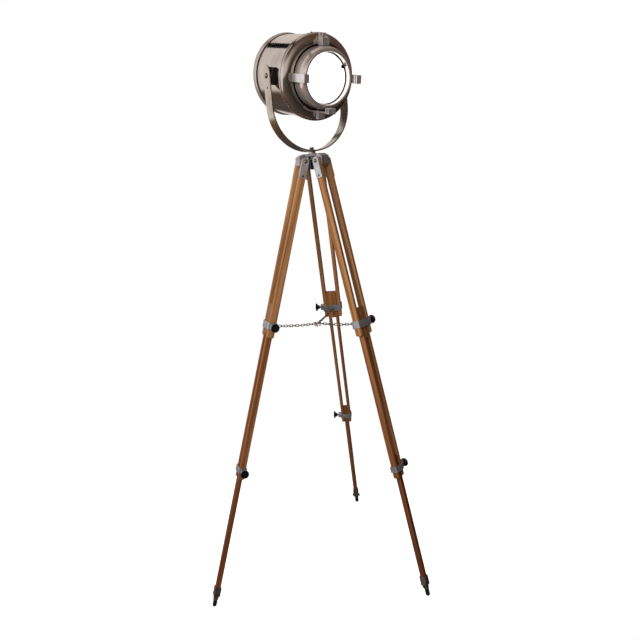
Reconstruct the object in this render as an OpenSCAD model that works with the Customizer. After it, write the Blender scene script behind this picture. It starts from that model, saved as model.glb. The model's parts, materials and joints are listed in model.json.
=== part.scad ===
// Tripod floor lamp: a drum spotlight in a U-shaped yoke on a three-stage wooden field tripod.
// Millimetres. +Z is up, the lamp faces -Y, and the floor is at z = 0.

/* [Model] */

// Sub-part to build, or "all" for the whole lamp

/* [Stand] */

// Height of the leg hinge pins above the floor
pivot_height = 1400; // [1100:5:1600]
// Distance of each hinge pin from the stand's vertical axis
pivot_radius = 35; // [30:1:45]
// Azimuth of the back leg, anticlockwise from +X
back_azimuth = 50.8; // [0:0.1:120]
// Angle of the left leg from the vertical
left_spread = 17.7; // [8:0.1:25]
// Angle of the right leg from the vertical
right_spread = 11.8; // [8:0.1:25]
// Angle of the back leg from the vertical
back_spread = 15.9; // [8:0.1:25]
// Offset of the stand's axis along X from the middle of the footprint
axis_x = 99.49; // [-200:0.01:200]
// Offset of the stand's axis along Y from the middle of the footprint
axis_y = -15.10; // [-200:0.01:200]

/* [Leg stages] */

// Distance along a leg from the hinge pin to the middle of the upper clamp
upper_reach = 514; // [450:1:560]
// Distance along a leg from the upper clamp to the lower clamp
middle_reach = 478; // [400:1:500]
// Thickness of an upper rail, across the leg
upper_rail_t = 11.5; // [9:0.5:18]
// Depth of the upper rails, towards the stand's axis
rail_depth = 22.5; // [18:0.5:26]
// Gap between a leg's two upper rails
upper_gap = 36; // [34:0.5:48]
// Thickness of a middle rail
middle_rail_t = 9.5; // [8:0.5:14]
// Gap between a leg's two middle rails
middle_gap = 16; // [12:0.5:20]
// Sliding clearance on each side of a stage
slide_gap = 0.5; // [0.3:0.1:1]
// Length of rail left below a clamp band
rail_tail = 25; // [15:1:35]
// Length of the left leg's middle stage held above its upper clamp
left_overlap = 70; // [30:1:80]
// Length of the right leg's middle stage held above its upper clamp
right_overlap = 50; // [30:1:80]
// Length of the back leg's middle stage held above its upper clamp
back_overlap = 57; // [30:1:80]
// Length of the block that joins the two middle rails
block_len = 97; // [40:1:100]
// Length of lower rod held above the lower clamp
lower_overlap = 40; // [30:1:80]

/* [Clamps and knobs] */

// Wall of a clamp band
band_wall = 2.5; // [1.5:0.5:4]
// Height of an upper clamp band
upper_band_h = 24; // [16:1:30]
// Height of a lower clamp band
lower_band_h = 20; // [14:1:28]
// Length of the threaded boss that carries a knob
boss_len = 10; // [5:0.5:14]
// Diameter of a thumb knob's rim
knob_d = 28; // [20:1:36]
// Length of a thumb knob
knob_len = 14; // [10:1:22]

/* [Spreader chain] */

// Radius of the chain wire
wire_r = 1.2; // [0.8:0.1:2]
// Radius of the round ends of a link, to the middle of the wire
link_c = 3.3; // [2.5:0.1:5]
// Half length of a link's straight sides
link_h = 3.1; // [2:0.1:6]
// Drop of a strand below a straight line, at its middle
chain_sag = 3; // [0:0.5:15]
// Radius of the ring that joins the strands, to the middle of the wire
ring_r = 9.2; // [8:0.1:14]

/* [Yoke] */

// Inside radius of the yoke's half circle
yoke_r = 128; // [122:1:150]
// Thickness of the yoke strip
yoke_t = 4; // [3:0.5:6]
// Width of the yoke strip
yoke_w = 39; // [25:1:45]
// Height of the tilt axis above the inside of the yoke's bottom
tilt_rise = 215; // [195:1:240]
// Length of arm left above the tilt bolts
arm_over = 30; // [15:1:40]

/* [Lamp head] */

// Angle of the lamp below the horizontal
lamp_tilt = 13.3; // [-30:0.1:60]
// Outside radius of the drum
drum_r = 116; // [100:1:120]
// Wall of the drum and its covers
sheet_t = 1.5; // [1:0.1:3]
// Outside radius of the front bezel and the rear bead
rim_r = 120.5; // [110:0.5:124]
// Distance from the tilt axis to the back of the drum
drum_back = 107; // [90:1:120]
// Distance from the tilt axis to the front of the bezel ring
bezel_front = 76; // [60:1:90]
// Outside radius of the lens tube
tube_r = 85.3; // [70:0.1:95]
// Radius of the opening in the lens tube
opening_r = 70.3; // [60:0.1:80]
// Distance from the tilt axis to the crest of the lens tube
tube_crest = 133; // [115:1:150]
// Distance from the tilt axis to the front of the filter runners
runner_front = 157; // [140:1:170]

/* [Hidden] */

$fn = 48;

// Legs are numbered left, right, back.
LEFT = 0;
RIGHT = 1;
BACK = 2;
azimuth = [back_azimuth + 120, back_azimuth + 240, back_azimuth];
spread = [left_spread, right_spread, back_spread];
middle_overlap = [left_overlap, right_overlap, back_overlap];

wood = [0.50, 0.31, 0.18];
steel = [0.72, 0.70, 0.67];
alloy = [0.74, 0.74, 0.74];
black = [0.04, 0.04, 0.04];
chain_metal = [0.62, 0.56, 0.44];

eps = 0.01;
fit = 0.05;          // radial clearance of a pin in its hole
lug_gap = 0.3;       // side clearance of the hub lugs between the rails
nut_gap = 0.35;      // height of the yoke nut above the lowest point of the curved strip

half_upper = upper_gap / 2 + upper_rail_t;
half_middle = middle_gap / 2 + middle_rail_t;
middle_depth = rail_depth - 2.5;
rod_w = middle_gap - 2 * slide_gap;
rod_depth = middle_depth - 3.5;
lower_reach = upper_reach + middle_reach;
pin_r = 4;
strap_t = 2.5;
strap_len = 53;

tip_r = 7;           // rubber foot
tip_flat = 0.8;      // how far the foot is flattened by the floor
tip_len = 18;
ferrule_len = 45;

plate_top = pivot_height + 22;
plate_t = 8;
collar_h = 7;
yoke_base = plate_top + collar_h;
stud_r = 5;
bend_z = yoke_base + yoke_t + yoke_r;
tilt_z = yoke_base + yoke_t + tilt_rise;

link_e = link_h + link_c;          // middle of a link to the middle of its end wire
eye_r = 4.5;
eye_wire = 1.3;
eye_out = rail_depth / 2 + band_wall + 3.6;
ring_wire = 1.5;
links = [14, 13, 15];
ring_at = [-26, 15, pivot_height - 512];

seat_z = bezel_front + 9.6;        // where the filter brackets stand on the bezel
bracket_w = 23;

// ---------------------------------------------------------------- placing

// The stand's own axis, on the floor.
module on_axis() translate([axis_x, axis_y, 0]) children();

// A leg hangs along local -Z from its hinge pin. Local Y runs along the pin, local X outwards.
module on_leg(i)
    on_axis()
        rotate([0, 0, azimuth[i]])
            translate([pivot_radius, 0, pivot_height])
                rotate([0, -spread[i], 0])
                    children();

// The lamp is turned about local Z, which points out of its front. Local Y is up.
module on_lamp()
    on_axis()
        translate([0, 0, tilt_z])
            rotate([90 + lamp_tilt, 0, 0])
                children();

// ---------------------------------------------------------------- helpers

module box(lo, hi)
    translate(lo) cube([hi[0] - lo[0], hi[1] - lo[1], hi[2] - lo[2]]);

module y_rod(r, y0, y1)
    translate([0, y0, 0]) rotate([-90, 0, 0]) cylinder(r = r, h = y1 - y0);

module x_rod(r, x0, x1)
    translate([x0, 0, 0]) rotate([0, 90, 0]) cylinder(r = r, h = x1 - x0);

// A domed head that stands on the plane z = 0.
module dome_head(r, h) {
    big = (r * r + h * h) / (2 * h);
    intersection() {
        translate([0, 0, h - big]) sphere(r = big, $fn = 64);
        cylinder(r = r + 1, h = h + 1);
    }
}

// A flat bar along Z, its top rounded about the origin and its bottom corners cut off.
module rounded_bar(y0, y1, depth, length, cut)
    difference() {
        union() {
            y_rod(depth / 2, y0, y1);
            translate([0, y1, 0])
                rotate([90, 0, 0])
                    linear_extrude(height = y1 - y0)
                        polygon([
                            [-depth / 2, 0], [-depth / 2, cut - length], [cut - depth / 2, -length],
                            [depth / 2 - cut, -length], [depth / 2, cut - length], [depth / 2, 0]
                        ]);
        }
        y_rod(pin_r + fit, y0 - 1, y1 + 1);
    }

// ---------------------------------------------------------------- leg parts, in the leg's frame

module upper_rails()
    for (s = [-1, 1])
        rounded_bar(
            min(s * upper_gap / 2, s * half_upper), max(s * upper_gap / 2, s * half_upper),
            rail_depth, upper_reach + upper_band_h / 2 + rail_tail, 3
        );

module hinge_straps()
    for (s = [-1, 1])
        difference() {
            rounded_bar(
                min(s * half_upper, s * (half_upper + strap_t)),
                max(s * half_upper, s * (half_upper + strap_t)),
                rail_depth, strap_len, 1
            );
            translate([0, 0, -strap_len + 8]) y_rod(2 + fit, -half_upper - 5, half_upper + 5);
        }

// The hinge pin with a domed head at each end, and a wood screw through each strap.
module leg_bolts() {
    out = half_upper + strap_t;
    y_rod(pin_r, -out, out);
    for (s = [-1, 1]) {
        translate([0, s * out, 0]) rotate([-90 * s, 0, 0]) dome_head(6.5, 4);
        translate([0, s * out, -strap_len + 8]) rotate([-90 * s, 0, 0]) dome_head(3.6, 1.8);
        translate([0, 0, -strap_len + 8])
            y_rod(2, min(s * (half_upper), s * out), max(s * (half_upper), s * out));
    }
}

// A band around the rails, with a boss on its +Y side for the knob.
module clamp_band(half, h, depth) {
    inside = half + 0.1;
    wall = inside + band_wall;
    d_in = depth / 2 + 0.1;
    d_out = d_in + band_wall;
    difference() {
        union() {
            box([-d_out, -wall, -h / 2], [d_out, wall, h / 2]);
            box([-8, wall - eps, -h / 2 + 3], [8, wall + boss_len, h / 2 - 3]);
        }
        box([-d_in, -inside, -h], [d_in, inside, h]);
        y_rod(3 + fit, inside - 1, wall + boss_len + 1);
    }
}

// The upper clamp also carries the eye for the chain, on the side that faces the axis.
module upper_clamp()
    translate([0, 0, -upper_reach]) {
        difference() {
            union() {
                clamp_band(half_upper, upper_band_h, rail_depth);
                translate([-eye_out, 0, 0]) rotate([90, 0, 0]) rotate_extrude() translate([eye_r, 0]) circle(r = eye_wire);
            }
            box([-rail_depth / 2 - 0.1, -half_upper, -upper_band_h], [rail_depth / 2 + 0.1, half_upper, upper_band_h]);
        }
    }

module lower_clamp()
    translate([0, 0, -lower_reach]) clamp_band(half_middle, lower_band_h, middle_depth);

// A flared thumb knob on a threaded stud that ends just short of the rail.
module clamp_knob(half) {
    start = half + 0.1 + band_wall + boss_len + 4;
    translate([0, half + 0.4, 0])
        rotate([-90, 0, 0])
            rotate_extrude($fn = 64)
                polygon([
                    [0, 0], [3, 0], [3, start - half - 0.4],
                    [6, start - half - 0.4], [6.4, start - half + 3], [8, start - half + 6],
                    [11, start - half + 8.4], [knob_d / 2 - 0.8, start - half + 9.6],
                    [knob_d / 2, start - half + 10.6], [knob_d / 2, start - half + knob_len - 1.6],
                    [knob_d / 2 - 1.2, start - half + knob_len - 0.4], [0, start - half + knob_len - 0.4]
                ]);
}

module upper_knob() translate([0, 0, -upper_reach]) clamp_knob(half_upper);
module lower_knob() translate([0, 0, -lower_reach]) clamp_knob(half_middle);

// Two rails joined by a block at the top.
module middle_frame(i) {
    top = upper_reach - middle_overlap[i];
    bottom = lower_reach + lower_band_h / 2 + rail_tail - 5;
    d = middle_depth / 2;
    difference() {
        box([-d, -half_middle, -bottom], [d, half_middle, -top]);
        box([-d - 1, -middle_gap / 2, -bottom - 1], [d + 1, middle_gap / 2, -top - block_len]);
        for (s = [-1, 1])
            translate([s * d, 0, -bottom])
                rotate([0, 45, 0])
                    box([-2, -half_middle - 1, -2], [2, half_middle + 1, 2]);
    }
}

function tip_reach(i) = (pivot_height - tip_r + tip_flat) / cos(spread[i]);

module lower_rod(i)
    box(
        [-rod_depth / 2, -rod_w / 2, -tip_reach(i) + tip_len + 12],
        [rod_depth / 2, rod_w / 2, -lower_reach + lower_overlap]
    );

// A cast socket around the rod, with a small tread on each side.
module foot_ferrule(i)
    translate([0, 0, -tip_reach(i) + tip_len])
        difference() {
            union() {
                box([-10.5, -10, 14], [10.5, 10, ferrule_len]);
                cylinder(r1 = tip_r + 1, r2 = 10, h = 16);
                box([-3, -15, 10], [3, 15, 18]);
            }
            box([-rod_depth / 2 - fit, -rod_w / 2 - fit, 12], [rod_depth / 2 + fit, rod_w / 2 + fit, ferrule_len + 1]);
        }

module foot_tip(i)
    difference() {
        on_leg(i)
            translate([0, 0, -tip_reach(i)])
                union() {
                    sphere(r = tip_r);
                    cylinder(r = tip_r, h = tip_len);
                }
        on_axis() box([-1000, -1000, -50], [1000, 1000, 0]);
    }

// ---------------------------------------------------------------- chain

// A link along local X, lying in the XY plane.
module chain_link() {
    for (s = [-1, 1]) {
        translate([0, s * link_c, 0]) x_rod(wire_r, -link_h, link_h);
        translate([s * link_h, 0, 0])
            rotate([0, 0, s * 90 - 180])
                rotate_extrude(angle = 180)
                    translate([link_c, 0])
                        circle(r = wire_r);
    }
}

function leg_dir(i) = [cos(azimuth[i]), sin(azimuth[i]), 0];

function eye_at(i) =
    leg_dir(i) * (pivot_radius + upper_reach * sin(spread[i]) - eye_out * cos(spread[i]))
    + [0, 0, pivot_height - upper_reach * cos(spread[i]) - eye_out * sin(spread[i])];

function flat_dir(a, b) = [b[0] - a[0], b[1] - a[1], 0] / norm([b[0] - a[0], b[1] - a[1]]);

// The middle of the wire of a strand's last link. The left strand carries the ring and passes through it.
// The other two end beside it, so that each leg can fold alone.
function end_gap(i) = i == LEFT ? -(ring_wire + wire_r + 0.15) : ring_wire + wire_r + 0.8;
function strand_end(i) = ring_at + flat_dir(ring_at, eye_at(i)) * (ring_r + end_gap(i));

function along(a, b, t) = a + (b - a) * t - [0, 0, 4 * chain_sag * t * (1 - t)];

module chain_strand(i) {
    a = eye_at(i);
    b = strand_end(i);
    n = links[i];
    run = norm(b - a);
    first = link_e / run;
    step = (1 - 2 * first) / (n - 1);
    for (k = [0 : n - 1]) {
        t = first + k * step;
        mid = along(a, b, t);
        d = along(a, b, t + 0.01) - along(a, b, t - 0.01);
        translate(mid)
            rotate([0, -atan2(d[2], norm([d[0], d[1]])), atan2(d[1], d[0])])
                rotate([k % 2 == 0 ? 0 : 90, 0, 0])
                    chain_link();
    }
}

// The joining ring and the three spare links that hang from it.
module ring_and_spares() {
    drop = ring_wire + wire_r + 0.15 - link_e;
    translate(ring_at) {
        rotate_extrude() translate([ring_r, 0]) circle(r = ring_wire);
        for (i = [0 : 2])
            rotate([0, 0, atan2(eye_at(i)[1] - ring_at[1], eye_at(i)[0] - ring_at[0]) + 60])
                translate([ring_r, 0, drop])
                    rotate([90, 90, 0])
                        chain_link();
    }
}

// ---------------------------------------------------------------- hub and yoke

module tripod_head_shape()
    difference() {
        union() {
            translate([0, 0, plate_top - plate_t]) cylinder(r = 34, h = plate_t);
            translate([0, 0, plate_top - plate_t - 9]) cylinder(r = 14, h = 10);
            for (i = [LEFT, RIGHT, BACK])
                rotate([0, 0, azimuth[i]])
                    translate([0, upper_gap / 2 - lug_gap, 0])
                        rotate([90, 0, 0])
                            linear_extrude(height = upper_gap - 2 * lug_gap)
                                polygon([
                                    [8, plate_top - plate_t], [8, plate_top], [36, plate_top],
                                    [pivot_radius + 15, plate_top - 8], [pivot_radius + 15, pivot_height - 10],
                                    [pivot_radius + 10, pivot_height - 15], [pivot_radius - 8, pivot_height - 15],
                                    [pivot_radius - 12, pivot_height - 11], [pivot_radius - 12, plate_top - plate_t]
                                ]);
        }
        for (i = [LEFT, RIGHT, BACK])
            rotate([0, 0, azimuth[i]])
                translate([pivot_radius, 0, pivot_height])
                    y_rod(pin_r + fit, -upper_gap, upper_gap);
        translate([0, 0, pivot_height - 20]) cylinder(r = stud_r + fit, h = 60);
    }

// The screw that holds the yoke down, with a black grip below the hub.
module head_knob_shape() {
    translate([0, 0, pivot_height - 4]) cylinder(r = stud_r, h = yoke_base + yoke_t + 9 - pivot_height + 4);
    translate([0, 0, pivot_height - 24])
        rotate_extrude()
            polygon([
                [0, 0], [8, 0], [10, 1.5], [10, 8], [7.5, 12], [7, 20.5], [0, 20.5]
            ]);
}

module yoke_shape()
    difference() {
        union() {
            translate([0, yoke_w / 2, bend_z])
                rotate([90, 180, 0])
                    rotate_extrude(angle = 180, $fn = 96)
                        translate([yoke_r, 0])
                            square([yoke_t, yoke_w]);
            for (s = [-1, 1]) {
                x0 = s > 0 ? yoke_r : -yoke_r - yoke_t;
                box([x0, -yoke_w / 2, bend_z - eps], [x0 + yoke_t, yoke_w / 2, tilt_z + arm_over - yoke_w / 2]);
                translate([0, 0, tilt_z + arm_over - yoke_w / 2]) x_rod(yoke_w / 2, x0, x0 + yoke_t);
            }
        }
        translate([0, 0, yoke_base - 1]) cylinder(r = stud_r + fit, h = yoke_t + 2);
        translate([0, 0, tilt_z]) x_rod(pin_r + fit, -yoke_r - 10, yoke_r + 10);
        translate([0, 0, tilt_z - 33]) x_rod(3, -yoke_r - 10, yoke_r + 10);
    }

// ---------------------------------------------------------------- lamp, in the lamp's frame

function arc(cx, cz, rx, rz, a0, a1, n) =
    [for (k = [0 : n]) let (a = a0 + (a1 - a0) * k / n) [cx + rx * cos(a), cz + rz * sin(a)]];

module turned(points) rotate_extrude($fn = 96) polygon(points);

module drum_shell_shape()
    difference() {
        turned([
            [drum_r - sheet_t, -drum_back + 4], [drum_r, -drum_back + 4],
            [drum_r, bezel_front - 8], [drum_r - sheet_t, bezel_front - 8]
        ]);
        x_rod(pin_r + fit, -rim_r, rim_r);
    }

// A dished back plate whose edge is rolled into a bead and slips over the drum.
module rear_cover_shape() {
    back = -drum_back - 4.3;
    difference() {
        union() {
            translate([0, 0, back]) rotate_extrude($fn = 96) translate([rim_r - 4, 0]) circle(r = 4);
            turned(concat(
                [[drum_r - 1, back + 2], [drum_r - 1, back - 2]],
                arc(drum_r - 16, back - 2, 10, 8, 0, -90, 6),
                [[60, back - 13], [24, back - 15], [0, back - 15]],
                [[0, back - 15 + sheet_t], [24, back - 15 + sheet_t], [60, back - 13 + sheet_t]],
                arc(drum_r - 16, back, 8.5, 8, -90, 0, 6),
                [[drum_r - 7.5, back + 2]]
            ));
            turned([
                [drum_r + 0.1, back + 3], [drum_r + 2.2, back + 3],
                [drum_r + 2.2, back + 14], [drum_r + 0.1, back + 14]
            ]);
        }
        for (a = [45 : 90 : 315])
            rotate([0, 0, a]) translate([48, 0, back - 20]) cylinder(r = 2 + fit, h = 14);
        translate([0, -78, back - 20]) cylinder(r = 6 + fit, h = 20);
    }
}

// A rounded shoulder from the drum's edge in to the lens tube, with a collar that slips over the drum.
module front_bezel_shape() {
    z0 = bezel_front;
    wall = 2.2;
    turn_r = 20.5;
    turn_h = 18.5;
    shoulder = rim_r - turn_r;
    turned(concat(
        [[drum_r + 0.1, z0 - 24], [rim_r - 1.2, z0 - 24], [rim_r - 0.4, z0 - 23], [rim_r - 0.4, z0 - 16.5]],
        [[rim_r - 2, z0 - 15], [rim_r - 2, z0 - 13], [rim_r, z0 - 11.5]],
        arc(shoulder, z0 - 10, turn_r, turn_h, 0, 90, 16),
        [[tube_r + 8, z0 + 9.4], [tube_r + 5.5, z0 + 9.4], [tube_r + 5.2, z0 + 7.6], [tube_r + 3, z0 + 7.6]],
        [[tube_r + 2.8, z0 + 9.2], [tube_r + 1.6, z0 + 9.2], [tube_r + 1.4, z0 + 7.6], [tube_r + 0.1, z0 + 7.6]],
        [[tube_r + 0.1, z0 + 5.4], [tube_r + 8, z0 + 6.4]],
        arc(shoulder, z0 - 10, turn_r - wall, turn_h - wall, 90, 28.4, 10),
        [[drum_r + 0.1, z0 - 4]]
    ));
}

// A turned ring with a rolled lip around the opening.
module lens_tube_shape() {
    crest_r = opening_r + 3.5;
    turned(concat(
        [[tube_r, bezel_front - 2], [tube_r, tube_crest - 25]],
        arc(crest_r, tube_crest - 25, tube_r - crest_r, 25, 0, 90, 12),
        arc(crest_r, tube_crest - 4, 3.5, 4, 100, 180, 5),
        [[opening_r, tube_crest - 44], [opening_r + 2, tube_crest - 44], [opening_r + 2, tube_crest - 8]],
        arc(crest_r, tube_crest - 27, tube_r - crest_r - 2, 24, 80, 0, 10),
        [[tube_r - 2, bezel_front - 2]]
    ));
}

// A flat-backed convex lens.
module lens_shape() {
    z0 = tube_crest - 27;
    turned(concat(
        [[0, z0], [opening_r - 0.6, z0], [opening_r - 0.6, z0 + 4]],
        [for (k = [1 : 12]) let (r = (opening_r - 0.6) * (1 - k / 12)) [r, z0 + 4 + 9 * (1 - pow(r / opening_r, 2))]]
    ));
}

// The dark ring that holds the lens in the tube, with its fixing lug.
module lens_gasket_shape() {
    z0 = tube_crest - 22.2;
    turned([
        [opening_r - 2.6, z0], [opening_r - 0.1, z0], [opening_r - 0.1, z0 + 2.5], [opening_r - 2.6, z0 + 2.5]
    ]);
    rotate([0, 0, 30]) translate([opening_r - 6, 0, z0 + 2.5 - eps]) cylinder(r = 5, h = 4);
}

// A bracket part drawn as (radius, z) points and given the brackets' width. Local X points out of the tube.
module bracket(points)
    rotate([90, 0, 0]) linear_extrude(height = bracket_w, center = true) polygon(points);

// A plate beside the tube, with three fins that a colour filter frame slides between.
module slotted_runner() {
    gap = tube_r + 3.6;
    out = tube_r + 9;
    tips = tube_r - 7;
    fin = tube_crest + 3;
    bracket([
        [gap, seat_z], [out, seat_z], [out, runner_front], [tips, runner_front], [tips, fin + 18],
        [gap, fin + 18], [gap, fin + 12], [tips, fin + 12], [tips, fin + 9],
        [gap, fin + 9], [gap, fin + 3], [tips, fin + 3], [tips, fin], [gap, fin]
    ]);
}

// The foot that ties the lowest runner to the bezel's shoulder.
module runner_foot()
    bracket([
        [tube_r + 3.6, seat_z], [rim_r - 9, seat_z], [rim_r - 7.5, seat_z + 2], [rim_r - 7.5, seat_z + 12],
        [rim_r - 10, seat_z + 14.4], [tube_r + 3.6, seat_z + 14.4]
    ]);

// The short catch at the top, which closes over a filter frame once it is in.
module top_catch() {
    bracket([
        [tube_r + 0.4, seat_z], [rim_r - 9, seat_z], [rim_r - 1.5, seat_z + 2], [rim_r - 1.5, seat_z + 5.5],
        [rim_r - 10, seat_z + 8], [rim_r - 12, seat_z + 15], [rim_r - 15, seat_z + 20], [rim_r - 15, seat_z + 24.4],
        [tube_r + 0.4, seat_z + 24.4]
    ]);
    translate([rim_r - 7, 0, seat_z + 4]) cylinder(r = 3.5, h = 6);
}

// Three slotted brackets for a colour filter frame, and the catch at the top.
module filter_runners_shape() {
    for (a = [0, 180, 270]) rotate([0, 0, a]) slotted_runner();
    rotate([0, 0, 270]) runner_foot();
    rotate([0, 0, 90]) top_catch();
}

module screw_head(r, h, shank_r, shank) {
    dome_head(r, h);
    translate([0, 0, -shank]) cylinder(r = shank_r, h = shank + eps);
}

// Round-head screws: three through the bezel ring, four through the rear cover.
module lamp_screws_shape() {
    for (a = [-19, 101, 221])
        rotate([0, 0, a])
            translate([rim_r + fit, 0, bezel_front - 9]) rotate([0, 90, 0]) dome_head(3.2, 2.4);
    for (a = [45 : 90 : 315])
        rotate([0, 0, a])
            translate([48, 0, -drum_back - 4.3 - 14.4]) rotate([180, 0, 0]) screw_head(4, 2.6, 2, 8);
}

// Black friction pads that seat on the drum under each yoke arm.
module trunnion_pads_shape()
    for (s = [-1, 1])
        difference() {
            box([s > 0 ? 90 : -drum_r - 7, -24, -24], [s > 0 ? drum_r + 7 : -90, 24, 24]);
            cylinder(r = drum_r + fit, h = 200, center = true, $fn = 96);
            x_rod(pin_r + fit, -200, 200);
        }

// A disc on the tilt axis, bored for the bolt, from x0 to x1 on side s.
module trunnion_disc(s, r, x0, x1)
    difference() {
        x_rod(r, s > 0 ? x0 : -x1, s > 0 ? x1 : -x0);
        x_rod(pin_r + fit, -200, 200);
    }

module trunnion_washers_shape()
    for (s = [-1, 1]) trunnion_disc(s, 19.5, drum_r + 7, drum_r + 8.5);

// Rubber friction discs that the yoke's arms bear on.
module trunnion_rubbers_shape()
    for (s = [-1, 1]) trunnion_disc(s, 18.5, drum_r + 8.5, yoke_r - 0.3);

// Bolts that the lamp tilts on, each with a domed head outside the arm and a nut inside the drum.
module trunnion_bolts_shape()
    for (s = [-1, 1])
        rotate([0, 0, s > 0 ? 0 : 180]) {
            x_rod(pin_r, drum_r - 12, yoke_r + yoke_t + 0.3);
            translate([yoke_r + yoke_t + 0.3, 0, 0]) rotate([0, 90, 0]) dome_head(8, 5);
            translate([drum_r - 10, 0, 0])
                rotate([0, 90, 0])
                    cylinder(r = 8, h = 7, $fn = 6);
        }

module reflector_shape()
    turned(concat(
        [for (k = [0 : 12]) let (r = 22 + k * 6.4) [r, -48 + pow((r - 22) / 76.8, 2) * 68]],
        [for (k = [12 : -1 : 0]) let (r = 22 + k * 6.4) [r, -50 + pow((r - 22) / 76.8, 2) * 68]]
    ));

module lampholder_shape()
    difference() {
        union() {
            translate([0, 0, -98]) cylinder(r = 19, h = 34);
            translate([0, 0, -98]) cylinder(r = 23, h = 12);
        }
        translate([0, 0, -90]) cylinder(r = 13.6, h = 40);
    }

// A strip across the back of the drum that carries the lampholder.
module holder_bracket_shape()
    difference() {
        union() {
            box([-92, -15, -101], [92, 15, -98.05]);
            for (s = [-1, 1])
                box([s > 0 ? 89 : -92, -15, -116], [s > 0 ? 92 : -89, 15, -99]);
        }
        translate([0, 0, -110]) cylinder(r = 5, h = 20);
    }

module bulb_shape()
    turned(concat(
        [[0, 40]],
        arc(0, 8, 32, 32, 88, -50, 14),
        [[15, -30], [14, -40], [0, -40]]
    ));

module bulb_cap_shape() {
    translate([0, 0, -66]) cylinder(r = 13.3, h = 25.95);
    translate([0, 0, -71]) cylinder(r1 = 7, r2 = 12, h = 5.01);
    translate([0, 0, -74]) cylinder(r = 5, h = 3.01);
}

module cable_gland_shape()
    translate([0, -78, -drum_back - 4.3])
        difference() {
            union() {
                translate([0, 0, -28]) cylinder(r = 8.5, h = 15.6, $fn = 6);
                translate([0, 0, -16]) cylinder(r = 6, h = 11);
                translate([0, 0, -9.1]) cylinder(r = 8.5, h = 4, $fn = 6);
            }
            translate([0, 0, -40]) cylinder(r = 3.5, h = 50);
        }

// ---------------------------------------------------------------- nodes

module tripod_head() color(alloy) on_axis() tripod_head_shape();
module head_knob() color(black) on_axis() head_knob_shape();
module yoke() color(steel) on_axis() yoke_shape();

module yoke_collar()
    color(steel)
        on_axis()
            translate([0, 0, plate_top])
                difference() {
                    cylinder(r = 11, h = collar_h);
                    translate([0, 0, -1]) cylinder(r = stud_r + fit, h = collar_h + 2);
                }

module yoke_nut()
    color(steel)
        on_axis()
            translate([0, 0, yoke_base + yoke_t + nut_gap])
                difference() {
                    union() {
                        cylinder(r = 9, h = 1.5);
                        translate([0, 0, 1.5 - eps]) cylinder(r = 7.5, h = 7, $fn = 6);
                    }
                    translate([0, 0, -1]) cylinder(r = stud_r + fit, h = 12);
                }

module drum_shell() color(steel) on_lamp() drum_shell_shape();
module rear_cover() color(steel) on_lamp() rear_cover_shape();
module front_bezel() color(steel) on_lamp() front_bezel_shape();
module lens_tube() color(steel) on_lamp() lens_tube_shape();
module lens() color([0.95, 0.97, 1.0]) on_lamp() lens_shape();
module lens_gasket() color(black) on_lamp() lens_gasket_shape();
module filter_runners() color(steel) on_lamp() filter_runners_shape();
module lamp_screws() color(steel) on_lamp() lamp_screws_shape();
module trunnion_pads() color(black) on_lamp() trunnion_pads_shape();
module trunnion_washers() color(steel) on_lamp() trunnion_washers_shape();
module trunnion_rubbers() color(black) on_lamp() trunnion_rubbers_shape();
module trunnion_bolts() color(steel) on_lamp() trunnion_bolts_shape();
module reflector() color(alloy) on_lamp() reflector_shape();
module lampholder() color([0.9, 0.9, 0.88]) on_lamp() lampholder_shape();
module holder_bracket() color(alloy) on_lamp() holder_bracket_shape();
module bulb() color([0.98, 0.97, 0.92]) on_lamp() bulb_shape();
module bulb_cap() color(chain_metal) on_lamp() bulb_cap_shape();
module cable_gland() color(black) on_lamp() cable_gland_shape();

module leg_left_upper_rails() color(wood) on_leg(LEFT) upper_rails();
module leg_left_hinge_straps() color(alloy) on_leg(LEFT) hinge_straps();
module leg_left_bolts() color(steel) on_leg(LEFT) leg_bolts();
module leg_left_upper_clamp() color(alloy) on_leg(LEFT) upper_clamp();
module leg_left_upper_knob() color(black) on_leg(LEFT) upper_knob();
module leg_left_middle_frame() color(wood) on_leg(LEFT) middle_frame(LEFT);
module leg_left_lower_clamp() color(alloy) on_leg(LEFT) lower_clamp();
module leg_left_lower_knob() color(black) on_leg(LEFT) lower_knob();
module leg_left_lower_rod() color(wood) on_leg(LEFT) lower_rod(LEFT);
module leg_left_foot_ferrule() color(alloy) on_leg(LEFT) foot_ferrule(LEFT);
module leg_left_foot_tip() color(black) foot_tip(LEFT);

module leg_right_upper_rails() color(wood) on_leg(RIGHT) upper_rails();
module leg_right_hinge_straps() color(alloy) on_leg(RIGHT) hinge_straps();
module leg_right_bolts() color(steel) on_leg(RIGHT) leg_bolts();
module leg_right_upper_clamp() color(alloy) on_leg(RIGHT) upper_clamp();
module leg_right_upper_knob() color(black) on_leg(RIGHT) upper_knob();
module leg_right_middle_frame() color(wood) on_leg(RIGHT) middle_frame(RIGHT);
module leg_right_lower_clamp() color(alloy) on_leg(RIGHT) lower_clamp();
module leg_right_lower_knob() color(black) on_leg(RIGHT) lower_knob();
module leg_right_lower_rod() color(wood) on_leg(RIGHT) lower_rod(RIGHT);
module leg_right_foot_ferrule() color(alloy) on_leg(RIGHT) foot_ferrule(RIGHT);
module leg_right_foot_tip() color(black) foot_tip(RIGHT);

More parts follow.
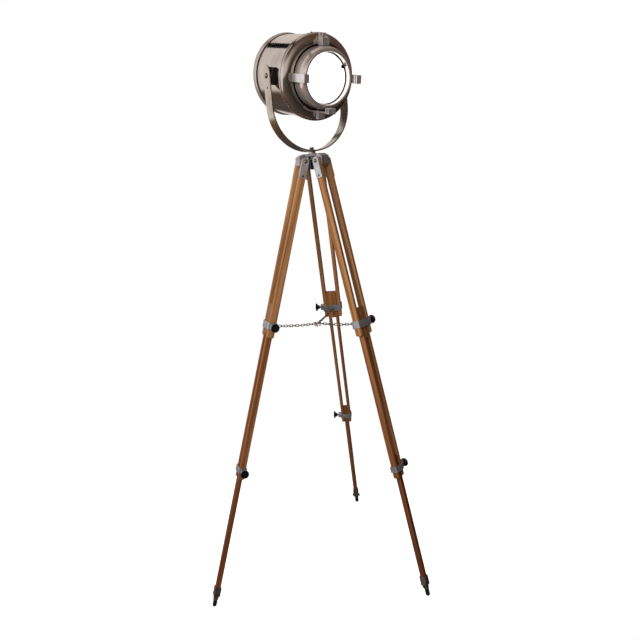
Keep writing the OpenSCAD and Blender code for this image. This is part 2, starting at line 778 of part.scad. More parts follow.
module leg_back_upper_rails() color(wood) on_leg(BACK) upper_rails();
module leg_back_hinge_straps() color(alloy) on_leg(BACK) hinge_straps();
module leg_back_bolts() color(steel) on_leg(BACK) leg_bolts();
module leg_back_upper_clamp() color(alloy) on_leg(BACK) upper_clamp();
module leg_back_upper_knob() color(black) on_leg(BACK) upper_knob();
module leg_back_middle_frame() color(wood) on_leg(BACK) middle_frame(BACK);
module leg_back_lower_clamp() color(alloy) on_leg(BACK) lower_clamp();
module leg_back_lower_knob() color(black) on_leg(BACK) lower_knob();
module leg_back_lower_rod() color(wood) on_leg(BACK) lower_rod(BACK);
module leg_back_foot_ferrule() color(alloy) on_leg(BACK) foot_ferrule(BACK);
module leg_back_foot_tip() color(black) foot_tip(BACK);

module chain_left() color(chain_metal) on_axis() chain_strand(LEFT);
module chain_right() color(chain_metal) on_axis() chain_strand(RIGHT);
module chain_back() color(chain_metal) on_axis() chain_strand(BACK);
module chain_ring() color(chain_metal) on_axis() ring_and_spares();

tripod_head();
head_knob();
yoke();
yoke_collar();
yoke_nut();
drum_shell();
rear_cover();
front_bezel();
lens_tube();
lens();
lens_gasket();
filter_runners();
lamp_screws();
trunnion_pads();
trunnion_washers();
trunnion_rubbers();
trunnion_bolts();
reflector();
lampholder();
holder_bracket();
bulb();
bulb_cap();
cable_gland();
leg_left_upper_rails();
leg_left_hinge_straps();
leg_left_bolts();
leg_left_upper_clamp();
leg_left_upper_knob();
leg_left_middle_frame();
leg_left_lower_clamp();
leg_left_lower_knob();
leg_left_lower_rod();
leg_left_foot_ferrule();
leg_left_foot_tip();
leg_right_upper_rails();
leg_right_hinge_straps();
leg_right_bolts();
leg_right_upper_clamp();
leg_right_upper_knob();
leg_right_middle_frame();
leg_right_lower_clamp();
leg_right_lower_knob();
leg_right_lower_rod();
leg_right_foot_ferrule();
leg_right_foot_tip();
leg_back_upper_rails();
leg_back_hinge_straps();
leg_back_bolts();
leg_back_upper_clamp();
leg_back_upper_knob();
leg_back_middle_frame();
leg_back_lower_clamp();
leg_back_lower_knob();
leg_back_lower_rod();
leg_back_foot_ferrule();
leg_back_foot_tip();
chain_left();
chain_right();
chain_back();
chain_ring();
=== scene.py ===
"""The looks of the tripod floor lamp: finishes, fine mesh detail, a painted studio and the camera.

Lengths in the lamp's and the legs' own frames are in millimetres; everything placed is in metres.
"""

import json
import math

import bmesh
import bpy
from mathutils import Matrix, Vector


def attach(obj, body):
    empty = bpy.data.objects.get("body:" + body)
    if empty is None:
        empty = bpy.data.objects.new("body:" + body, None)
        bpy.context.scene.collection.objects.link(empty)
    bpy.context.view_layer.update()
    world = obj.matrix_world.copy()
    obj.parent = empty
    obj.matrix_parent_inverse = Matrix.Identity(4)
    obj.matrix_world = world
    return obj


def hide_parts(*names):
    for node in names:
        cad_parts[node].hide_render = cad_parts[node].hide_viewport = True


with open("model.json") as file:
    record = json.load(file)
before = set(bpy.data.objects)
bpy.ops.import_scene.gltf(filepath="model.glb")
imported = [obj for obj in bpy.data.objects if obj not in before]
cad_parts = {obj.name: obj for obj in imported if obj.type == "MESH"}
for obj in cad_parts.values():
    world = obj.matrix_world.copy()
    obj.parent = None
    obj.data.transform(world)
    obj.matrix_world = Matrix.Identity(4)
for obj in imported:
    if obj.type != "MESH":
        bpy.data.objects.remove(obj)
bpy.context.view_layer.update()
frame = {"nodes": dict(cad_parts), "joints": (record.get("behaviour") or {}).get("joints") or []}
nodes = frame["nodes"]
joints = {j["name"]: j for j in frame["joints"]}

MM = 0.001
SIDES = ("left", "right", "back")
LAMP_TILT = math.radians(13.3)  # the lamp looks this far below the horizontal


# ------------------------------------------------------------------ frames and sizes


def frame_of(x_axis, y_axis, z_axis, origin):
    turn = Matrix((x_axis, y_axis, z_axis)).transposed().to_4x4()
    return Matrix.Translation(origin) @ turn


def leg_frame(side):
    """A leg's frame: local Z up the leg, local Y along the hinge pin, local X outwards."""
    fold = joints[f"leg_{side}_fold"]
    along = Vector(joints[f"leg_{side}_middle_slide"]["axis"]).normalized()
    pin = Vector(fold["axis"]).normalized()
    return frame_of(pin.cross(along), pin, along, Vector(fold["pos_m"]))


PART = Matrix.Identity(4)
LEG = {side: leg_frame(side) for side in SIDES}
STAND = Matrix.Translation(Vector(joints["yoke_pan"]["pos_m"]))
LAMP = Matrix.Translation(Vector(joints["lamp_tilt"]["pos_m"])) @ Matrix.Rotation(
    math.pi / 2 + LAMP_TILT, 4, "X"
)


class Extent:
    """The size of a CAD node in a local frame, in millimetres."""

    def __init__(self, node, local):
        inverse = local.inverted()
        points = [(inverse @ v.co) / MM for v in nodes[node].data.vertices]
        self.lo = Vector([min(p[k] for p in points) for k in range(3)])
        self.hi = Vector([max(p[k] for p in points) for k in range(3)])
        self.mid = (self.lo + self.hi) / 2
        self.r_out = max(math.hypot(p.x, p.y) for p in points)
        self.r_in = min(math.hypot(p.x, p.y) for p in points)


# ------------------------------------------------------------------ shader helpers


def srgb(r, g, b):
    """An 8-bit screen colour as linear RGBA."""

    def linear(c):
        c /= 255
        return c / 12.92 if c <= 0.04045 else ((c + 0.055) / 1.055) ** 2.4

    return (linear(r), linear(g), linear(b), 1.0)


class Shader:
    """One material's node tree, with short calls for the nodes used here."""

    def __init__(self, name, tree=None):
        if tree is None:
            self.material = bpy.data.materials.new(name)
            self.material.use_nodes = True
            tree = self.material.node_tree
            self.surface = tree.nodes["Principled BSDF"]
        self.tree = tree

    def node(self, kind, settings=None, **inputs):
        made = self.tree.nodes.new(kind)
        for key, value in (settings or {}).items():
            setattr(made, key, value)
        for key, value in inputs.items():
            self.set(made, key.replace("_", " "), value)
        return made

    def set(self, node, key, value):
        if isinstance(value, bpy.types.NodeSocket):
            self.tree.links.new(value, node.inputs[key])
        else:
            node.inputs[key].default_value = value

    def principled(self, **inputs):
        for key, value in inputs.items():
            self.set(self.surface, key.replace("_", " "), value)

    def math(self, operation, a, b):
        made = self.tree.nodes.new("ShaderNodeMath")
        made.operation = operation
        for k, value in enumerate((a, b)):
            if isinstance(value, bpy.types.NodeSocket):
                self.tree.links.new(value, made.inputs[k])
            else:
                made.inputs[k].default_value = value
        return made.outputs[0]

    def dot(self, vector, axis):
        made = self.tree.nodes.new("ShaderNodeVectorMath")
        made.operation = "DOT_PRODUCT"
        self.tree.links.new(vector, made.inputs[0])
        made.inputs[1].default_value = axis
        return made.outputs["Value"]

    def remap(self, value, low, high, to_low=0.0, to_high=1.0, smooth=False):
        """value from low..high to to_low..to_high, clamped."""
        made = self.node(
            "ShaderNodeMapRange",
            {"interpolation_type": "SMOOTHSTEP" if smooth else "LINEAR"},
        )
        for k, item in enumerate((value, low, high, to_low, to_high)):
            if isinstance(item, bpy.types.NodeSocket):
                self.tree.links.new(item, made.inputs[k])
            else:
                made.inputs[k].default_value = item
        return made.outputs[0]

    def mix(self, factor, a, b):
        made = self.node("ShaderNodeMix", {"data_type": "RGBA"})
        for socket, value in ((made.inputs[0], factor), (made.inputs[6], a), (made.inputs[7], b)):
            if isinstance(value, bpy.types.NodeSocket):
                self.tree.links.new(value, socket)
            else:
                socket.default_value = value
        return made.outputs[2]

    def ramp(self, factor, stops):
        made = self.node("ShaderNodeValToRGB", Fac=factor)
        ramp = made.color_ramp
        while len(ramp.elements) < len(stops):
            ramp.elements.new(1.0)
        for element, (place, colour) in zip(ramp.elements, stops):
            element.position = place
            element.color = colour
        return made.outputs["Color"]

    def place(self, local, stretch=(1, 1, 1)):
        """Object coordinates in a local frame, stretched along its axes."""
        where = self.node("ShaderNodeTexCoord").outputs["Object"]
        inverse = local.inverted()
        turned = self.node(
            "ShaderNodeMapping",
            Vector=where,
            Location=inverse.to_translation(),
            Rotation=inverse.to_euler("XYZ"),
        )
        return self.node("ShaderNodeMapping", Vector=turned.outputs[0], Scale=stretch).outputs[0]

    def axis(self, where, name):
        return self.node("ShaderNodeSeparateXYZ", Vector=where).outputs[name]

    def radius(self, where):
        """The distance from local Z."""
        flat = self.node("ShaderNodeVectorMath", {"operation": "MULTIPLY"})
        self.tree.links.new(where, flat.inputs[0])
        flat.inputs[1].default_value = (1, 1, 0)
        length = self.node("ShaderNodeVectorMath", {"operation": "LENGTH"})
        self.tree.links.new(flat.outputs[0], length.inputs[0])
        return length.outputs["Value"]

    def band(self, value, low, high, soft):
        """1 where value lies between low and high, fading over soft on each side."""
        rise = self.remap(value, low - soft, low + soft, smooth=True)
        fall = self.remap(value, high - soft, high + soft, 1.0, 0.0, smooth=True)
        return self.math("MULTIPLY", rise, fall)

    def noise(self, where, scale, detail=4.0, roughness=0.55, distortion=0.0):
        return self.node(
            "ShaderNodeTexNoise",
            Vector=where,
            Scale=scale,
            Detail=detail,
            Roughness=roughness,
            Distortion=distortion,
        ).outputs["Fac"]

    def bump(self, height, strength, distance, under=None):
        made = self.node("ShaderNodeBump", Strength=strength, Distance=distance, Height=height)
        if under is not None:
            self.set(made, "Normal", under)
        return made.outputs["Normal"]


# ------------------------------------------------------------------ finishes


def wood(side, stage):
    """Oiled hardwood whose grain runs along one leg. The lower stages are redder and darker wood,
    and their darkening is also painted shade for light that falls off down the leg.
    """
    s = Shader(f"wood_{side}_{stage}")
    local = LEG[side]
    light, body, deep, pore = WOOD_TONES[stage]
    tone = s.noise(s.place(local, (1, 1, 0.02)), 38, detail=1.0)
    figure = s.noise(s.place(local, (1, 1, 0.035)), 210, detail=5.0, roughness=0.6, distortion=0.6)
    streak = s.noise(s.place(local, (1, 1, 0.012)), 900, detail=3.0, roughness=0.7)
    pores = s.noise(s.place(local, (1, 1, 0.05)), 2400, detail=2.0)
    rings = s.node(
        "ShaderNodeTexWave",
        {"wave_type": "BANDS", "bands_direction": "DIAGONAL"},
        Vector=s.place(local, (1, 1, 0.03)),
        Scale=26,
        Distortion=5.5,
        Detail=3.0,
        Detail_Scale=1.6,
    ).outputs["Fac"]
    grain = s.math("ADD", s.math("MULTIPLY", figure, 0.55), s.math("MULTIPLY", rings, 0.22))
    grain = s.math("ADD", grain, s.math("MULTIPLY", streak, 0.23))
    base = s.ramp(grain, [(0.28, deep), (0.48, body), (0.72, light)])
    patch = s.mix(s.remap(tone, 0.35, 0.68), deep, light)
    blended = s.mix(0.3, base, patch)
    pore_mask = s.remap(pores, 0.62, 0.76)
    colour = s.mix(s.math("MULTIPLY", pore_mask, 0.3), blended, pore)
    s.principled(
        Base_Color=colour,
        Roughness=s.remap(figure, 0.3, 0.7, 0.55, 0.42),
        Coat_Weight=0.05,
        Coat_Roughness=0.25,
        Specular_IOR_Level=0.16,
        Normal=s.bump(s.math("SUBTRACT", grain, pore_mask), 0.22, 0.0004),
    )
    return s.material


def polished(name, local, light, dark, gloss, spread, metallic=1.0, grooves=(), gap=None):
    """Antique nickel: mirror-like, with cloudy patina, fine turned lines and a faint waviness.

    grooves are (low, high) stretches of local Z, and gap one stretch of radius, that are
    painted dark as the shade in the grooves and in the gap at the tube. Both are in millimetres.
    """
    s = Shader(name)
    plain = s.place(local)
    cloud = s.noise(plain, 16, detail=5.0, roughness=0.62)
    spots = s.noise(plain, 260, detail=3.0)
    lines = s.noise(s.place(local, (0.05, 0.05, 1)), 2600, detail=2.0)
    waviness = s.noise(plain, 11, detail=1.0)
    patina = s.remap(cloud, 0.42, 0.75, smooth=True)
    colour = s.mix(patina, light, dark)
    colour = s.mix(s.remap(spots, 0.66, 0.78, 0.0, 0.35), colour, srgb(84, 66, 48))
    rough = s.remap(cloud, 0.3, 0.75, gloss, gloss + spread)
    rough = s.math("ADD", rough, s.remap(lines, 0.45, 0.75, 0.0, spread * 0.4))
    height = s.axis(plain, "Z")
    # painted shade: the grooves and the gap at the tube are coloured dark
    for low, high in grooves:
        shade_mask = s.band(height, low * MM, high * MM, 0.6 * MM)
        colour = s.mix(shade_mask, colour, GROOVE_SHADE)
    if gap:
        shade_mask = s.band(s.radius(plain), gap[0] * MM, gap[1] * MM, 0.5 * MM)
        colour = s.mix(shade_mask, colour, GROOVE_SHADE)
    s.principled(
        Base_Color=colour,
        Metallic=metallic,
        Roughness=rough,
        Normal=s.bump(waviness, 0.02, 0.01, s.bump(lines, 0.03, 0.0001)),
    )
    return s.material


def cast(name, light, dark, rough, grit=0.3, metallic=0.85):
    """Tumbled cast alloy: satin, finely pitted, a little grey in the pits."""
    s = Shader(name)
    where = s.place(PART)
    cloud = s.noise(where, 45, detail=4.0)
    grain = s.noise(where, 900, detail=3.0, roughness=0.65)
    pits = s.remap(s.noise(where, 1500, detail=1.0), 0.66, 0.74)
    colour = s.mix(s.remap(cloud, 0.35, 0.7), light, dark)
    colour = s.mix(s.math("MULTIPLY", pits, 0.5), colour, srgb(70, 68, 64))
    height = s.math("SUBTRACT", grain, s.math("MULTIPLY", pits, 0.6))
    s.principled(
        Base_Color=colour,
        Metallic=metallic,
        Roughness=s.remap(grain, 0.3, 0.7, rough - 0.06, rough + 0.10),
        Normal=s.bump(height, grit, 0.0003),
    )
    return s.material


def brushed(name, light, dark, rough, metallic=1.0):
    """Plated or rolled metal with fine straight scratches."""
    s = Shader(name)
    scratch = s.noise(s.place(PART, (1, 1, 0.03)), 2200, detail=3.0, roughness=0.7)
    cloud = s.noise(s.place(PART), 60, detail=4.0)
    s.principled(
        Base_Color=s.mix(s.remap(cloud, 0.35, 0.7), light, dark),
        Metallic=metallic,
        Roughness=s.remap(scratch, 0.3, 0.7, rough - 0.05, rough + 0.10),
        Normal=s.bump(scratch, 0.16, 0.0002),
    )
    return s.material


def moulded(name, colour, rough, coat=0.0, grit=0.2):
    """Moulded plastic or rubber with a fine skin and a little dust."""
    s = Shader(name)
    where = s.place(PART)
    skin = s.noise(where, 1200, detail=2.0)
    dust = s.noise(where, 90, detail=4.0)
    lighter = tuple(min(1.0, c * 2.2 + 0.012) for c in colour[:3]) + (1.0,)
    s.principled(
        Base_Color=s.mix(s.remap(dust, 0.5, 0.8, 0.0, 0.6), colour, lighter),
        Roughness=s.remap(dust, 0.3, 0.75, rough, rough + 0.18),
        Coat_Weight=coat,
        Coat_Roughness=0.12,
        Normal=s.bump(skin, grit, 0.0002),
    )
    return s.material


def lit_glass(name, strength, tint):
    """Glass that the lamp behind it fills with even white light."""
    s = Shader(name)
    where = s.place(LAMP)
    ripple = s.noise(where, 140, detail=2.0)
    s.principled(
        Base_Color=tint,
        Roughness=s.remap(ripple, 0.3, 0.7, 0.05, 0.12),
        Emission_Color=s.mix(s.remap(ripple, 0.3, 0.7), (1.0, 1.0, 1.0, 1.0), tint),
        Emission_Strength=strength,
    )
    return s.material


NICKEL = srgb(206, 195, 188)
NICKEL_DARK = srgb(182, 166, 152)
# the dark colour painted into grooves and the gap at the tube as shade
GROOVE_SHADE = srgb(34, 28, 28)
# light, body, deep and pore colours of each stage of a leg; the lower stages' darker tones are
# partly painted shade for light that falls off down the leg
WOOD_TONES = {
    "upper": (srgb(178, 132, 88), srgb(150, 102, 60), srgb(108, 64, 34), srgb(66, 36, 20)),
    "middle": (srgb(156, 104, 62), srgb(128, 78, 42), srgb(90, 50, 26), srgb(56, 28, 14)),
    "lower": (srgb(128, 74, 40), srgb(104, 56, 28), srgb(74, 36, 18), srgb(44, 20, 10)),
}

# the drum's and bezel's groove bands and the bezel's gap are painted shade
drum_metal = polished("drum_polished", LAMP, NICKEL, NICKEL_DARK, 0.06, 0.07, grooves=[(-98, -88.5)])
rear_metal = polished("rear_polished", LAMP, NICKEL, NICKEL_DARK, 0.18, 0.12, 0.75)
bezel_metal = polished(
    "bezel_polished", LAMP, NICKEL, NICKEL_DARK, 0.08, 0.08, 0.98, grooves=[(60, 64)], gap=(85, 90.6)
)
tube_metal = polished("tube_polished", LAMP, NICKEL, NICKEL_DARK, 0.12, 0.10, 0.8)
runner_metal = cast("runner_satin", srgb(226, 220, 220), srgb(198, 190, 184), 0.22, 0.15, 0.8)
yoke_metal = polished("yoke_polished", STAND, srgb(196, 186, 172), srgb(160, 138, 106), 0.12, 0.12)
cast_alloy = cast("cast_alloy_satin", srgb(178, 176, 180), srgb(132, 128, 126), 0.38, metallic=0.7)
ferrule_alloy = cast("ferrule_alloy", srgb(138, 132, 128), srgb(92, 84, 78), 0.36, metallic=0.8)
plate_alloy = brushed("plate_alloy", srgb(204, 203, 210), srgb(176, 172, 172), 0.36, metallic=0.7)
nickel_bolt = brushed("bolt_nickel", srgb(200, 192, 180), srgb(150, 138, 122), 0.26)
chain_brass = polished("chain_nickelled", STAND, srgb(196, 184, 158), srgb(120, 98, 62), 0.22, 0.16)
knob_black = moulded("knob_black", srgb(8, 7, 7), 0.28, coat=0.15)
rubber_black = moulded("rubber_black", srgb(12, 12, 12), 0.62, grit=0.5)
trim_black = moulded("trim_black", srgb(13, 13, 14), 0.5)
lens_lit = lit_glass("lens_lit", 1.6, (0.97, 0.97, 1.0, 1.0))
bulb_lit = lit_glass("bulb_lit", 3.0, (1.0, 0.97, 0.92, 1.0))
bulb_brass = brushed("bulb_brass", srgb(206, 178, 118), srgb(160, 128, 74), 0.3)
porcelain = moulded("holder_porcelain", srgb(222, 220, 212), 0.16, coat=0.5, grit=0.05)
bright_alloy = brushed("reflector_alloy", srgb(232, 232, 232), srgb(205, 205, 206), 0.14)
zinc = brushed("bracket_zinc", srgb(180, 182, 184), srgb(140, 142, 146), 0.34)


# ------------------------------------------------------------------ mesh helpers


def dress(obj, material):
    obj.data.materials.clear()
    obj.data.materials.append(material)
    return obj


def smooth(mesh, angle=32):
    for face in mesh.polygons:
        face.use_smooth = True
    mesh.set_sharp_from_angle(angle=math.radians(angle))


def make(name, mesh_data, local, material, body, stands_for=()):
    """Puts a bmesh, in millimetres in a local frame, into the scene as a piece of one body."""
    mesh = bpy.data.meshes.new(name)
    mesh_data.transform(local @ Matrix.Scale(MM, 4))
    bmesh.ops.recalc_face_normals(mesh_data, faces=mesh_data.faces)
    mesh_data.to_mesh(mesh)
    mesh_data.free()
    smooth(mesh)
    obj = bpy.data.objects.new(name, mesh)
    bpy.context.scene.collection.objects.link(obj)
    dress(obj, material)
    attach(obj, body)
    if stands_for:
        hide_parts(*stands_for)
    return obj


def soften_edges(node, material, width, segments=2, clamp=False):
    """Keeps a CAD node and rounds its edges with modifiers."""
    obj = nodes[node]
    normals = obj.data.attributes.get("custom_normal")
    if normals:
        obj.data.attributes.remove(normals)
    for face in obj.data.polygons:
        face.use_smooth = True
    for edge in obj.data.edges:
        edge.use_edge_sharp = False
    dress(obj, material)
    weld = obj.modifiers.new("weld", "WELD")
    weld.merge_threshold = 1e-5
    flat = obj.modifiers.new("flatten", "DECIMATE")
    flat.decimate_type = "DISSOLVE"
    flat.angle_limit = math.radians(0.4)
    bevel = obj.modifiers.new("edges", "BEVEL")
    bevel.limit_method = "ANGLE"
    bevel.angle_limit = math.radians(32)
    bevel.width = width * MM
    bevel.segments = segments
    bevel.use_clamp_overlap = clamp
    bevel.harden_normals = True
    return obj


def arc(cx, cz, rx, rz, start, end, steps):
    """Points on an ellipse quarter or part, as (radius, z) pairs. Angles are in degrees."""
    angles = [math.radians(start + (end - start) * k / steps) for k in range(steps + 1)]
    return [(cx + rx * math.cos(a), cz + rz * math.sin(a)) for a in angles]


def lathe(profile, segments=256, closed=True, shape=None):
    """Turns (radius, z) points about local Z. shape(radius, z, angle) may return a new radius."""
    mesh = bmesh.new()
    rings = []
    for k in range(segments):
        angle = 2 * math.pi * k / segments
        ring = []
        for radius, z in profile:
            r = shape(radius, z, angle) if shape else radius
            ring.append(mesh.verts.new((r * math.cos(angle), r * math.sin(angle), z)))
        rings.append(ring)
    count = len(profile)
    spans = count if closed else count - 1
    for k in range(segments):
        here, after = rings[k], rings[(k + 1) % segments]
        for j in range(spans):
            i = (j + 1) % count
            mesh.faces.new((here[j], after[j], after[i], here[i]))
    bmesh.ops.remove_doubles(mesh, verts=mesh.verts, dist=1e-4)
    bmesh.ops.dissolve_degenerate(mesh, edges=mesh.edges, dist=1e-5)
    return mesh


# ------------------------------------------------------------------ lamp head

drum = Extent("drum_shell", LAMP)
rim = Extent("front_bezel", LAMP)
tube = Extent("lens_tube", LAMP)
cover = Extent("rear_cover", LAMP)
SHEET = 1.5


def lamp_piece(name, profile, node, material, **how):
    return make(name, lathe(profile, **how), LAMP, material, "lamp", (node,))


def drum_profile():
    """A plain drum with a shallow rolled line near its back edge."""
    outer, inner = drum.r_out, drum.r_out - SHEET
    back, front = drum.lo.z, drum.hi.z
    line = back + 16
    points = [(outer, back), (outer, line - 1.4), (outer - 0.4, line - 0.8), (outer - 0.6, line)]
    points += [(outer - 0.4, line + 0.8), (outer, line + 1.4)]
    points += [(outer, front), (inner, front), (inner, back)]
    return points


def cover_profile():
    """The dished back plate, its rolled bead and the flange that slips over the drum."""
    back = drum.lo.z - 8.3
    bead, out, sleeve = cover.r_out - 4, cover.r_out, drum.r_out + 0.1
    points = [(0, back - 15), (24, back - 15), (60, back - 13), (96, back - 10.5)]
    points += arc(drum.r_out - 17, back - 2, 9, 8, -80, -4, 10)
    points += arc(bead, back, 4, 4, -150, 62, 24)
    points += [(out - 2.3, back + 4.6), (out - 2.3, back + 13.4), (out - 2.9, back + 14)]
    points += [(sleeve, back + 14), (sleeve, back + 2.5), (drum.r_out - 7.5, back + 2)]
    points += arc(drum.r_out - 16, back, 8.5, 8, 0, -90, 8)
    points += [(60, back - 13 + SHEET), (24, back - 15 + SHEET), (0, back - 15 + SHEET)]
    return points


def bezel_profile():
    """A beaded collar over the drum, one rounded shoulder, and the stepped gap at the tube."""
    z0 = rim.hi.z - 9.4
    out, hole, inside = rim.r_out, tube.r_out, drum.r_out + 0.1
    shoulder = out - 20.5
    points = [(inside, z0 - 24)]
    points += arc(out - 2.2, z0 - 20.2, 1.8, 3.8, -90, 80, 12)
    points += [(out - 2, z0 - 15.4), (out - 2, z0 - 13), (out - 0.6, z0 - 12)]
    points += arc(shoulder, z0 - 10, 20.5, 18.5, 0, 90, 28)
    points += arc(hole + 6.1, z0 + 8.8, 0.6, 0.6, 90, 180, 3)
    points += [(hole + 5.2, z0 + 7.6), (hole + 3.2, z0 + 7.6)]
    points += arc(hole + 2.2, z0 + 8.4, 0.8, 0.8, 0, 180, 8)
    points += [(hole + 1.2, z0 + 7.6), (hole + 0.1, z0 + 7.6)]
    points += [(hole + 0.1, z0 + 5.4), (hole + 8, z0 + 6.4)]
    points += arc(shoulder, z0 - 10, 18.3, 16.3, 90, 28.4, 12)
    points += [(inside, z0 - 4)]
    return points


def tube_profile():
    """The lens tube with its rolled lip and a step that the lens seats on."""
    crest = tube.hi.z
    hole, out = tube.r_in, tube.r_out
    top = hole + 3.5
    points = [(out, tube.lo.z), (out, crest - 26)]
    points += arc(top, crest - 25, out - top, 25, 0, 90, 30)
    points += arc(top, crest - 4, 3.5, 4, 95, 180, 10)
    points += [(hole, crest - 44), (hole + 2, crest - 44), (hole + 2, crest - 8)]
    points += arc(top, crest - 27, out - top - 2, 24, 80, 0, 14)
    points += [(out - 2, tube.lo.z)]
    return points


lamp_piece("drum_skin", drum_profile(), "drum_shell", drum_metal)
lamp_piece("cover_dish", cover_profile(), "rear_cover", rear_metal, closed=False)
lamp_piece("bezel_ring", bezel_profile(), "front_bezel", bezel_metal)
lamp_piece("tube_ring", tube_profile(), "lens_tube", tube_metal)


# ------------------------------------------------------------------ knobs


KNOB_LENGTH = 13.6
FLUTES = 18
FLUTE_DEPTH = 0.9


def knob_profile(reach, stud):
    """A thumb knob about local Z, from its metal stud to a dished face with a raised middle."""
    face = stud + KNOB_LENGTH
    edge = reach - 1.0
    points = [(0, 0), (3, 0), (3, stud - 0.2), (6.2, stud)]
    points += [(6.6, stud + 2.5), (7.6, stud + 5.2), (9.8, stud + 7.6), (reach - 2.4, stud + 9.0)]
    points += arc(edge, face - 2.6, 1.0, 2.0, -70, 70, 6)
    points += [(reach - 2.6, face - 0.5), (reach - 4.5, face - 1.1), (5.2, face - 1.5)]
    points += [(4.2, face - 0.6), (2.4, face - 0.35), (0, face - 0.35)]
    return points


def fluted(reach, count, depth):
    """Rounds shallow finger flutes into whatever lies close to the rim."""

    def shape(radius, z, angle):
        near = max(0.0, min(1.0, (radius - reach + 4.0) / 3.0))
        return radius - depth * near * (0.5 - 0.5 * math.cos(count * angle)) ** 2

    return shape


def thumb_knob(side, stage):
    node = f"leg_{side}_{stage}_knob"
    size = Extent(node, LEG[side])
    reach = (size.hi.x - size.lo.x) / 2
    start = size.lo.y
    stud = size.hi.y - start - KNOB_LENGTH
    middle = Matrix.Translation(Vector((size.mid.x, start, size.mid.z)) * MM)
    local = LEG[side] @ middle @ Matrix.Rotation(-math.pi / 2, 4, "X")
    profile = knob_profile(reach, stud)
    body = lathe(profile, segments=144, closed=False, shape=fluted(reach, FLUTES, FLUTE_DEPTH))
    return make(node + "_grip", body, local, knob_black, node, (node,))


for side in SIDES:
    for stage in ("upper", "lower"):
        thumb_knob(side, stage)


# ------------------------------------------------------------------ carried-over parts

for side in SIDES:
    leg = f"leg_{side}_"
    soften_edges(leg + "upper_rails", wood(side, "upper"), 1.6, 3)
    soften_edges(leg + "middle_frame", wood(side, "middle"), 1.6, 3)
    soften_edges(leg + "lower_rod", wood(side, "lower"), 1.6, 3)
    soften_edges(leg + "hinge_straps", plate_alloy, 0.5)
    soften_edges(leg + "upper_clamp", cast_alloy, 0.7)
    soften_edges(leg + "lower_clamp", cast_alloy, 0.7)
    soften_edges(leg + "foot_ferrule", ferrule_alloy, 0.7)
    dress(nodes[leg + "bolts"], nickel_bolt)
    dress(nodes[leg + "foot_tip"], rubber_black)
    dress(nodes[f"chain_{side}"], chain_brass)

dress(nodes["chain_ring"], chain_brass)
soften_edges("tripod_head", cast_alloy, 1.0, 2, clamp=True)
dress(nodes["head_knob"], knob_black)
soften_edges("yoke", yoke_metal, 0.8, 3)
soften_edges("yoke_collar", nickel_bolt, 0.5)
soften_edges("yoke_nut", nickel_bolt, 0.5)
soften_edges("filter_runners", runner_metal, 0.7)
soften_edges("trunnion_pads", trim_black, 0.8)
soften_edges("trunnion_washers", nickel_bolt, 0.4)
soften_edges("trunnion_rubbers", rubber_black, 0.4)
dress(nodes["trunnion_bolts"], nickel_bolt)
dress(nodes["lamp_screws"], nickel_bolt)
dress(nodes["lens"], lens_lit)
dress(nodes["lens_gasket"], trim_black)
dress(nodes["reflector"], bright_alloy)
dress(nodes["lampholder"], porcelain)
dress(nodes["holder_bracket"], zinc)
dress(nodes["bulb"], bulb_lit)
dress(nodes["bulb_cap"], bulb_brass)
dress(nodes["cable_gland"], trim_black)


# ------------------------------------------------------------------ studio

HEADING = math.radians(29.8)  # the camera looks this far from +Y towards +X
LEFTWARD = Vector((-math.cos(HEADING), math.sin(HEADING), 0))
NEARWARD = Vector((-math.sin(HEADING), -math.cos(HEADING), 0))


CEILING_STRIP = (0.305, 0.445)  # how far to the left the black strip's two edges lie


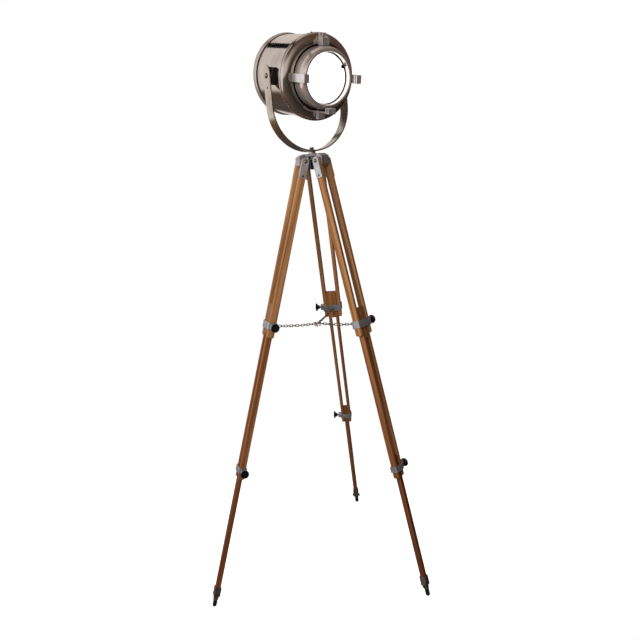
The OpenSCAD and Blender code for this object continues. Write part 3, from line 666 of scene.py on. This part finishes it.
def studio_world():
    """Paints the surroundings by world direction, differently for three kinds of ray.

    The camera's own rays see white and matt surfaces see a plain gradient. Polished surfaces see
    a room that is bright on the left and brown on the right and below. The black strip in its
    ceiling makes the dark band on the drum.
    """
    world = bpy.data.worlds.new("studio")
    world.use_nodes = True
    bpy.context.scene.world = world
    s = Shader("studio", world.node_tree)
    way = s.node("ShaderNodeTexCoord").outputs["Generated"]
    height = s.dot(way, Vector((0, 0, 1)))
    left = s.dot(way, LEFTWARD)
    near = s.dot(way, NEARWARD)
    across = s.remap(left, -1.0, 1.0)
    wall = s.ramp(
        across,
        [
            (0.00, (0.11, 0.075, 0.065, 1)),
            (0.20, (0.12, 0.085, 0.065, 1)),
            (0.36, (0.34, 0.29, 0.25, 1)),
            (0.55, (0.80, 0.74, 0.68, 1)),
            (0.85, (0.82, 0.79, 0.78, 1)),
            (1.00, (1.05, 1.05, 1.08, 1)),
        ],
    )
    ground = s.ramp(
        across,
        [
            (0.00, (0.020, 0.013, 0.009, 1)),
            (0.62, (0.070, 0.062, 0.056, 1)),
            (0.73, (0.105, 0.085, 0.078, 1)),
            (0.83, (0.11, 0.075, 0.056, 1)),
            (0.92, (0.24, 0.125, 0.060, 1)),
        ],
    )
    overhead = s.mix(s.remap(near, -0.35, 0.25), wall, (0.13, 0.085, 0.055, 1))
    strip = s.math("MULTIPLY", s.band(left, *CEILING_STRIP, 0.006), s.remap(height, 0.48, 0.52))
    room = s.mix(s.remap(height, 0.30, 0.75), wall, overhead)
    room = s.mix(strip, room, (0.004, 0.004, 0.005, 1))
    lifted = s.math("ADD", height, s.remap(left, 0.84, 0.93, 0.0, 0.18))
    room = s.mix(s.remap(lifted, -0.09, -0.17, smooth=True), room, ground)
    sky = s.math("ADD", s.math("MULTIPLY", left, 0.55), s.math("MULTIPLY", near, 0.55))
    soft_light = s.mix(s.remap(sky, -0.5, 0.75), (0.05, 0.042, 0.036, 1), (0.62, 0.62, 0.65, 1))
    path = s.node("ShaderNodeLightPath")
    glossy = s.node("ShaderNodeBackground", Color=room, Strength=1.0)
    soft = s.node("ShaderNodeBackground", Color=soft_light, Strength=0.75)
    white = s.node("ShaderNodeBackground", Color=(1.0, 1.0, 1.0, 1.0), Strength=1.02)
    seen = s.node("ShaderNodeMixShader", Fac=path.outputs["Is Diffuse Ray"])
    s.tree.links.new(glossy.outputs[0], seen.inputs[1])
    s.tree.links.new(soft.outputs[0], seen.inputs[2])
    final = s.node("ShaderNodeMixShader", Fac=path.outputs["Is Camera Ray"])
    s.tree.links.new(seen.outputs[0], final.inputs[1])
    s.tree.links.new(white.outputs[0], final.inputs[2])
    output = next(n for n in s.tree.nodes if n.type == "OUTPUT_WORLD")
    s.tree.links.new(final.outputs[0], output.inputs["Surface"])


def softbox(name, where, aim, size, watts):
    """An area light that reflections don't show."""
    light = bpy.data.lights.new(name, "AREA")
    light.shape = "RECTANGLE"
    light.size, light.size_y = size
    light.energy = watts
    obj = bpy.data.objects.new(name, light)
    bpy.context.scene.collection.objects.link(obj)
    obj.location = where
    obj.rotation_euler = (Vector(aim) - Vector(where)).to_track_quat("-Z", "Y").to_euler()
    obj.visible_glossy = False
    return obj


FLOOR_RADIUS = 0.9


def floor():
    """A pale floor that glows, so it shows almost no shadow.

    It neither lights the lamp nor shows in its reflections.
    """
    s = Shader("pale_floor")
    paper = s.noise(s.place(PART), 60, detail=2.0)
    s.principled(
        Base_Color=s.mix(paper, (0.92, 0.92, 0.92, 1), (0.95, 0.95, 0.95, 1)),
        Roughness=0.9,
        Emission_Color=(1.0, 1.0, 1.0, 1.0),
        Emission_Strength=0.85,
    )
    mesh = bmesh.new()
    bmesh.ops.create_circle(mesh, cap_ends=True, segments=128, radius=FLOOR_RADIUS)
    data = bpy.data.meshes.new("floor")
    mesh.to_mesh(data)
    mesh.free()
    obj = bpy.data.objects.new("floor", data)
    bpy.context.scene.collection.objects.link(obj)
    dress(obj, s.material)
    obj.visible_diffuse = False
    obj.visible_glossy = False


CAMERA_AT = Vector((-0.8766, -1.6789, 1.3198))
PITCH = math.radians(-12.33)
ROLL = math.radians(-4.95)


def camera():
    data = bpy.data.cameras.new("camera")
    data.sensor_width = 36.0
    data.lens = 33.98
    obj = bpy.data.objects.new("camera", data)
    bpy.context.scene.collection.objects.link(obj)
    forward = Vector(
        (math.sin(HEADING) * math.cos(PITCH), math.cos(HEADING) * math.cos(PITCH), math.sin(PITCH))
    )
    across = Vector((math.cos(HEADING), -math.sin(HEADING), 0))
    upward = across.cross(forward)
    x_axis = math.cos(ROLL) * across + math.sin(ROLL) * upward
    y_axis = math.cos(ROLL) * upward - math.sin(ROLL) * across
    obj.matrix_world = frame_of(x_axis, y_axis, -forward, CAMERA_AT)
    bpy.context.scene.camera = obj


studio_world()
head = Vector(joints["yoke_pan"]["pos_m"])
chest = head * 0.75
softbox("key", head + LEFTWARD * 1.1 + NEARWARD * 1.9 + Vector((0, 0, 0.7)), chest, (1.2, 1.6), 62)
softbox("fill", chest + NEARWARD * 3.0 - LEFTWARD * 0.6, chest, (1.2, 2.0), 5)
floor()
camera()
bpy.context.scene.view_settings.view_transform = "Standard"
